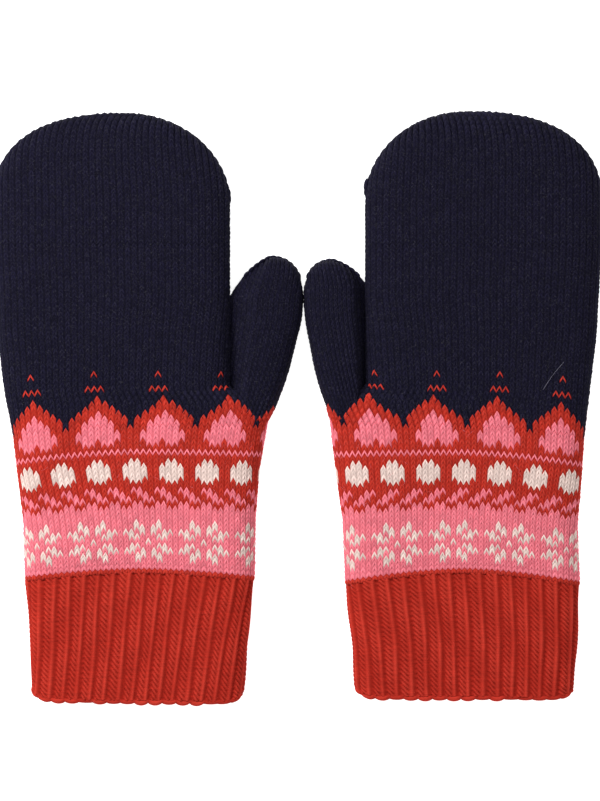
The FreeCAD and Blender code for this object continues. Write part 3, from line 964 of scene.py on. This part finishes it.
class MITTENS_OT_cuffs(bpy.types.Operator):
    """Knit the ribbed cuffs"""

    bl_idname = "mittens.cuffs"
    bl_label = "Ribbed Cuffs"

    def execute(self, context):
        sizes = context.scene.mitten_knitting
        steps = len(RIB_ACROSS)
        rows = np.linspace(0, CUFF_ROWS, int(CUFF_ROWS * CUFF_STEPS) + 1)
        inner_rows = np.r_[rows[:-1:CUFF_STEPS], rows[-1]]
        rust = yarn_of("R")
        for side, way in WHICH_WAY.items():
            dice = dice_for("cuff", side)
            tube = Tube(side, hand_shape, HAND_SECTION, CUFF_RIBS, steps)
            tube.twist = CUFF_TWIST[side]
            relief, pile, phase = ribbing(side, rows, dice)
            points = tube.lay(rows, cuff_height, cuff_widths, relief, sizes.rib_relief)
            tone = dice.normal(1, 0.05, (len(rows) - 1, CUFF_RIBS, 1))
            yarn = np.repeat(np.array(rust) * tone, steps, axis=1).reshape(-1, 3)
            piece = Knitting(side)
            low, high = piece.add_grid(points, yarn, strand_map(phase, CUFF_RIBS, steps), pile)
            relief = -sizes.wall - 0.4 * sizes.rib_relief * np.tile(RIB_ACROSS[::way], CUFF_RIBS)
            inside = tube.lay(inner_rows, cuff_height, cuff_widths, relief, sizes.rib_relief)
            inner_low, inner_high = piece.add_grid(inside, rust, inward=True)
            piece.add_rim(low, inner_low, rust, top=False)
            piece.add_rim(high, inner_high, rust, top=True)
            add_fluff(piece, points, sizes.fluff // 2, dice, rust, pale=1.3)
            item = finished(piece, "ribbed_cuff", "Rib Wool", "cuff")
            bend_at_wrist(item)
        return {"FINISHED"}


class MITTENS_OT_cast_on(bpy.types.Operator):
    """Roll the scalloped cast-on edges"""

    bl_idname = "mittens.cast_on"
    bl_label = "Cast-on Edges"

    def execute(self, context):
        steps, corners = 10, 8
        turn = np.arange(CUFF_RIBS * steps) / (CUFF_RIBS * steps)
        table = section_table(HAND_SECTION)
        for side in WHICH_WAY:
            dice = dice_for("cast_on", side)
            across, up = on_section(table, (turn + CUFF_TWIST[side]) % 1)
            bump = np.abs(np.sin(math.pi * turn * CUFF_RIBS)) ** 0.7
            bump = bump * np.repeat(dice.uniform(0.2, 1, CUFF_RIBS), steps)
            y = CAST_ON_Y - (0.3 + 0.8 * bump) * MM - row_drop(side, CAST_ON_Y, across)
            radius = (0.9 + 0.35 * bump)[:, None] * MM
            ply = strand_map(np.arange(corners)[:, None] / 3.0, CUFF_RIBS, steps)
            # Painted shade between the scallops of the edge, lighter on each bump.
            pile = np.tile(0.35 + 0.65 * bump, (corners, 1))
            piece = Knitting(side)
            add_strand(piece, y, 1.3 * MM, (across, up), radius, corners, yarn_of("R"), ply, pile)
            item = finished(piece, "cast_on_edge_roll", "Rib Wool", "cast_on_edge")
            bend_at_wrist(item)
        return {"FINISHED"}


class MITTENS_OT_bands(bpy.types.Operator):
    """Knit the patterned bands"""

    bl_idname = "mittens.bands"
    bl_label = "Patterned Bands"

    def execute(self, context):
        sizes = context.scene.mitten_knitting
        rows = np.linspace(-1, BAND_ROWS, (BAND_ROWS + 1) * PATTERN_STEPS + 1)
        for side in WHICH_WAY:
            dice = dice_for("band", side)
            tube = stitch_tube(side, hand_shape, HAND_SECTION, BAND_COLUMNS)
            piece, points = knit_tube(tube, rows, chart_letter, band_widths(side), dice)
            add_fluff(piece, points, sizes.fluff // 2, dice, yarn_of("P"), pale=1.2)
            item = finished(piece, "patterned_band", "Pattern Wool", "pattern_band")
            bend_at_wrist(item)
        return {"FINISHED"}


class MITTENS_OT_floats(bpy.types.Operator):
    """Lay the loose strands that run behind the pattern"""

    bl_idname = "mittens.floats"
    bl_label = "Strands Behind the Pattern"

    def execute(self, context):
        steps, corners = 180, 5
        turn = np.arange(steps) / steps
        across, up = on_section(section_table(HAND_SECTION), turn)
        ply = strand_map(np.arange(corners)[:, None] / 2.0, steps, 1)
        for side in WHICH_WAY:
            piece = Knitting(side)
            for number, letter in enumerate(STRAND_YARNS):
                y = (-64 + number * 3.5) * MM + 0.5 * MM * np.sin(2 * math.pi * turn * 24 + number)
                y = y - row_drop(side, y, across)
                slack = (4.1 + 0.35 * np.sin(2 * math.pi * turn * 30 + number * 2.1)) * MM
                add_strand(piece, y, slack, (across, up), STRAND_RADIUS, corners,
                           yarn_of(letter), ply)
            item = finished(piece, "band_strands", "Pattern Wool", "band_floats")
            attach(item, f"{side}_mitten")
        return {"FINISHED"}


class MITTENS_OT_hands(bpy.types.Operator):
    """Knit the hands, from the tops of the hearts to the knuckles"""

    bl_idname = "mittens.hands"
    bl_label = "Hands"

    def execute(self, context):
        sizes = context.scene.mitten_knitting
        last = BAND_ROWS + HAND_ROWS
        rows = np.r_[np.arange(BAND_ROWS, CHART_ROWS, 1 / PATTERN_STEPS),
                     np.linspace(CHART_ROWS, last, (last - CHART_ROWS) * PLAIN_STEPS + 1)]
        for side in WHICH_WAY:
            dice = dice_for("hand", side)
            tube = stitch_tube(side, hand_shape, HAND_SECTION, BAND_COLUMNS)
            widths = hand_widths(side, sizes.stitch_relief)
            piece, points = knit_tube(tube, rows, chart_letter, widths, dice)
            # The fibres keep clear of the hearts.
            add_fluff(piece, points[30:], sizes.fluff, dice, yarn_of("N"))
            if side == "right":
                start, end = (np.array([MEETING_X + x * MM, y * MM, THICKNESS + up * MM])
                              for x, y, up in STRAY_HAIR)
                add_hair(piece, start, end, 0.03, (0.26, 0.25, 0.32))
            item = finished(piece, "knitted_hand", "Navy Wool", "hand")
            bend_at_fingers(item)
        return {"FINISHED"}


class MITTENS_OT_fingers(bpy.types.Operator):
    """Knit the fingers up to the round tips"""

    bl_idname = "mittens.fingers"
    bl_label = "Fingers"

    def execute(self, context):
        sizes = context.scene.mitten_knitting
        for side in WHICH_WAY:
            dice = dice_for("fingers", side)
            tube = stitch_tube(side, hand_shape, HAND_SECTION, BAND_COLUMNS)
            rows = tip_rows(BAND_ROWS + HAND_ROWS, hand_tip_y(side))
            widths = finger_widths(side, sizes.stitch_relief)
            piece, points = knit_tube(tube, rows, chart_letter, widths, dice, closed=True)
            add_fluff(piece, points, sizes.fluff, dice, yarn_of("N"))
            item = finished(piece, "knitted_fingers", "Navy Wool", "fingers")
            bend_at_fingers(item)
        return {"FINISHED"}


class MITTENS_OT_thumbs(bpy.types.Operator):
    """Knit the thumbs"""

    bl_idname = "mittens.thumbs"
    bl_label = "Thumbs"

    def execute(self, context):
        sizes = context.scene.mitten_knitting

        def letter_at(row, column):
            if row > BAND_ROWS + 3:
                return "N"
            if column < THUMB_COLUMNS / 2:
                return chart_letter(row, column)
            return chart_letter(row, column - THUMB_COLUMNS + BAND_COLUMNS)

        for side, way in WHICH_WAY.items():
            dice = dice_for("thumb", side)
            tube = stitch_tube(side, thumb_shape, THUMB_SECTION, THUMB_COLUMNS)
            tube.crease_sag = 0.95
            rows = tip_rows(BAND_ROWS + 1, thumb_tip_y(side))
            widths = thumb_widths(side, sizes.stitch_relief)
            piece, points = knit_tube(tube, rows, letter_at, widths, dice, closed=True)
            # The fibres keep clear of the pattern at the foot of the thumb.
            add_fluff(piece, points[20:], sizes.fluff // 3, dice, yarn_of("N"))
            item = finished(piece, "knitted_thumb", "Navy Wool", "thumb")
            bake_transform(item)
        return {"FINISHED"}


def sew(side, centres, headings, bead, name, node):
    """A row of rounded, slanted stitches along a seam, a shade darker than the knitting."""
    around, along = 10, 7
    theta = np.arange(around) * 2 * math.pi / around
    phi = np.linspace(0, math.pi, along)[:, None]
    ring = np.stack(np.broadcast_arrays(
        np.cos(phi), np.sin(phi) * np.cos(theta), np.sin(phi) * np.sin(theta)), -1)
    ring[0, :, 1:] = ring[1, :, 1:] * 0.05
    ring[-1, :, 1:] = ring[-2, :, 1:] * 0.05
    ply = np.stack(np.broadcast_arrays(phi * 0.5, theta * 0.4, 0), -1)
    flip = slice(None, None, WHICH_WAY[side])
    number = np.arange(along * around).reshape(along, around)
    quads = faces_between(number[:-1], number[1:])[:, [0, 3, 2, 1]]
    long, wide, tall = bead
    dark = np.array(yarn_of("N")) * 0.9
    piece = Knitting(side)
    for centre, heading in zip(centres, headings):
        flat = np.array([-heading[1], heading[0], 0])
        slant = heading + 0.45 * UPRIGHT
        slant /= np.linalg.norm(slant)
        third = np.cross(slant, flat)
        points = centre + (ring[..., :1] * long * slant + ring[..., 1:2] * wide * flat
                           + ring[..., 2:] * tall * third)
        start = piece.count
        # The seam stitches carry a faint painted shade.
        piece.add(points, quads[:, flip], dark, ply, np.full(number.size, 0.95))
        for end in (number[0], number[-1][::-1]):
            piece.join([end[flip] + start], dark)
    return finished(piece, name, "Navy Wool", node)


def arc_of_beads(shape, side, start_y, tip, pitch, reach):
    """Places and headings evenly spaced over the round tip of a tube."""
    level = np.linspace(start_y, tip - 0.05 * MM, 1500)
    middle, half_width, _ = shape(side, level, 0.4 * MM)
    across = np.r_[middle - half_width, (middle + half_width)[::-1]]
    up = np.r_[level, level[::-1]]
    line = np.stack([MEETING_X + WHICH_WAY[side] * across, up], -1)
    run = np.r_[0, np.cumsum(np.linalg.norm(np.diff(line, axis=0), axis=1))]
    places = np.arange(pitch / 2, run[-1], pitch)
    behind, ahead = (
        np.stack([np.interp(spots, run, line[:, 0]), np.interp(spots, run, line[:, 1]),
                  np.full(len(places), MID_Z)], -1)
        for spots in (places - reach, places + reach))
    headings = ahead - behind
    headings /= np.maximum(np.linalg.norm(headings, axis=1, keepdims=True), 1e-9)
    return (ahead + behind) / 2, headings


class MITTENS_OT_seams(bpy.types.Operator):
    """Sew the seams over the finger and thumb tips and tie the yarn ends"""

    bl_idname = "mittens.seams"
    bl_label = "Tip Seams and Knots"

    def execute(self, context):
        for side, way in WHICH_WAY.items():
            points, headings = arc_of_beads(
                hand_shape, side, 96 * MM, hand_tip_y(side), 4.4 * MM, 2.2 * MM)
            item = sew(side, points, headings, TIP_BEAD, "tip_seam_stitches", "tip_seam")
            bend_at_fingers(item)

            start = points[0] + np.array([0, KNOT_RISE[side] * MM, 0])
            shifts = np.array([(0.3, -1.2, 0.2), (0.5, -2.8, 0.4), (0.3, -4.3, -0.3)]) * MM
            points = start + shifts * np.array([-way, 1, 1])
            headings = np.array([(0.15, 0.99, 0), (-0.1, 0.99, 0), (0.2, 0.98, 0)])
            item = sew(side, points, headings, KNOT_BEAD, "yarn_knot", "seam_knot")
            bend_at_fingers(item)

            points, headings = arc_of_beads(
                thumb_shape, side, 58 * MM, thumb_tip_y(side), 3 * MM, 1.6 * MM)
            item = sew(side, points, headings, THUMB_BEAD, "thumb_seam_stitches", "thumb_seam")
            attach(item, f"{side}_thumb_part")
        return {"FINISHED"}


class MITTENS_OT_stage(bpy.types.Operator):
    """Set up the pale floor, the soft lights and the camera overhead"""

    bl_idname = "mittens.stage"
    bl_label = "Floor, Lights and Camera"

    def execute(self, context):
        stage = context.scene.mitten_stage
        mesh = bpy.data.meshes.new("pale_floor")
        reach = 3.0
        corners = ((-reach, -reach), (reach, -reach), (reach, reach), (-reach, reach))
        mesh.from_pydata([(x, y, -MM) for x, y in corners], [], [(0, 1, 2, 3)])
        floor = bpy.data.objects.new("pale_floor", mesh)
        context.scene.collection.objects.link(floor)
        paper = bpy.data.materials.new("Pale Floor")
        paper.use_nodes = True
        tree = paper.node_tree
        shader = tree.nodes["Principled BSDF"]
        grain = tree.nodes.new("ShaderNodeTexNoise")
        grain.inputs["Scale"].default_value = 60
        tint = tree.nodes.new("ShaderNodeMapRange")
        tint.inputs["To Min"].default_value = 0.9
        tint.inputs["To Max"].default_value = 0.94
        link(tree, grain.outputs[0], tint.inputs[0])
        link(tree, tint.outputs[0], shader.inputs["Base Color"])
        shader.inputs["Roughness"].default_value = 0.9
        shader.inputs["Emission Color"].default_value = (1, 1, 1, 1)
        shader.inputs["Emission Strength"].default_value = 0.9
        mesh.materials.append(paper)

        world = bpy.data.worlds.new("White Studio")
        world.use_nodes = True
        sky = world.node_tree.nodes["Background"]
        sky.inputs["Color"].default_value = (1, 1, 1, 1)
        sky.inputs["Strength"].default_value = stage.sky
        context.scene.world = world

        for name, place, size, power in (
            ("key_lamp", (-0.65, 0.5, 0.75), 0.4, stage.key),
            ("fill_lamp", (0.9, 0.2, 1.2), 1.0, stage.key * 0.25),
        ):
            lamp = bpy.data.lights.new(name, "AREA")
            lamp.shape, lamp.size, lamp.energy = "SQUARE", size, power
            holder = bpy.data.objects.new(name, lamp)
            holder.location = place
            toward = -holder.location
            holder.rotation_euler = toward.to_track_quat("-Z", "Y").to_euler()
            context.scene.collection.objects.link(holder)

        lens = bpy.data.cameras.new("overhead_camera")
        lens.sensor_width = 36
        lens.lens = lens.sensor_width * (stage.camera_height - THICKNESS) / stage.frame_height
        camera = bpy.data.objects.new("overhead_camera", lens)
        camera.location = (1.05 * MM, 3.45 * MM, stage.camera_height)
        context.scene.collection.objects.link(camera)
        context.scene.camera = camera
        context.scene.view_settings.view_transform = "Standard"
        return {"FINISHED"}


OPERATORS = (
    MITTENS_OT_cuffs,
    MITTENS_OT_cast_on,
    MITTENS_OT_bands,
    MITTENS_OT_floats,
    MITTENS_OT_hands,
    MITTENS_OT_fingers,
    MITTENS_OT_thumbs,
    MITTENS_OT_seams,
    MITTENS_OT_stage,
)


class MITTENS_PT_panel(bpy.types.Panel):
    """Lists the steps of knitting the pair"""

    bl_label = "Knitted Mittens"
    bl_idname = "MITTENS_PT_panel"
    bl_space_type = "VIEW_3D"
    bl_region_type = "UI"
    bl_category = "Mittens"

    def draw(self, context):
        layout = self.layout
        scene = context.scene
        for group in (scene.mitten_knitting, scene.mitten_yarns, scene.mitten_stage):
            box = layout.box()
            for name in group.__annotations__:
                box.prop(group, name)
        for operator in OPERATORS:
            layout.operator(operator.bl_idname)


CLASSES = (MittenKnitting, MittenYarns, MittenStage, *OPERATORS, MITTENS_PT_panel)


def register():
    """Adds the settings, the steps and their panel."""
    for item in CLASSES:
        bpy.utils.register_class(item)
    bpy.types.Scene.mitten_knitting = PointerProperty(type=MittenKnitting)
    bpy.types.Scene.mitten_yarns = PointerProperty(type=MittenYarns)
    bpy.types.Scene.mitten_stage = PointerProperty(type=MittenStage)


def unregister():
    """Takes them away again."""
    del bpy.types.Scene.mitten_stage
    del bpy.types.Scene.mitten_yarns
    del bpy.types.Scene.mitten_knitting
    for item in reversed(CLASSES):
        bpy.utils.unregister_class(item)


def main():
    """Knits the pair."""
    register()
    bpy.ops.mittens.stage()
    bpy.ops.mittens.cuffs()
    bpy.ops.mittens.cast_on()
    bpy.ops.mittens.bands()
    bpy.ops.mittens.floats()
    bpy.ops.mittens.hands()
    bpy.ops.mittens.fingers()
    bpy.ops.mittens.thumbs()
    bpy.ops.mittens.seams()


if __name__ == "__main__":
    main()
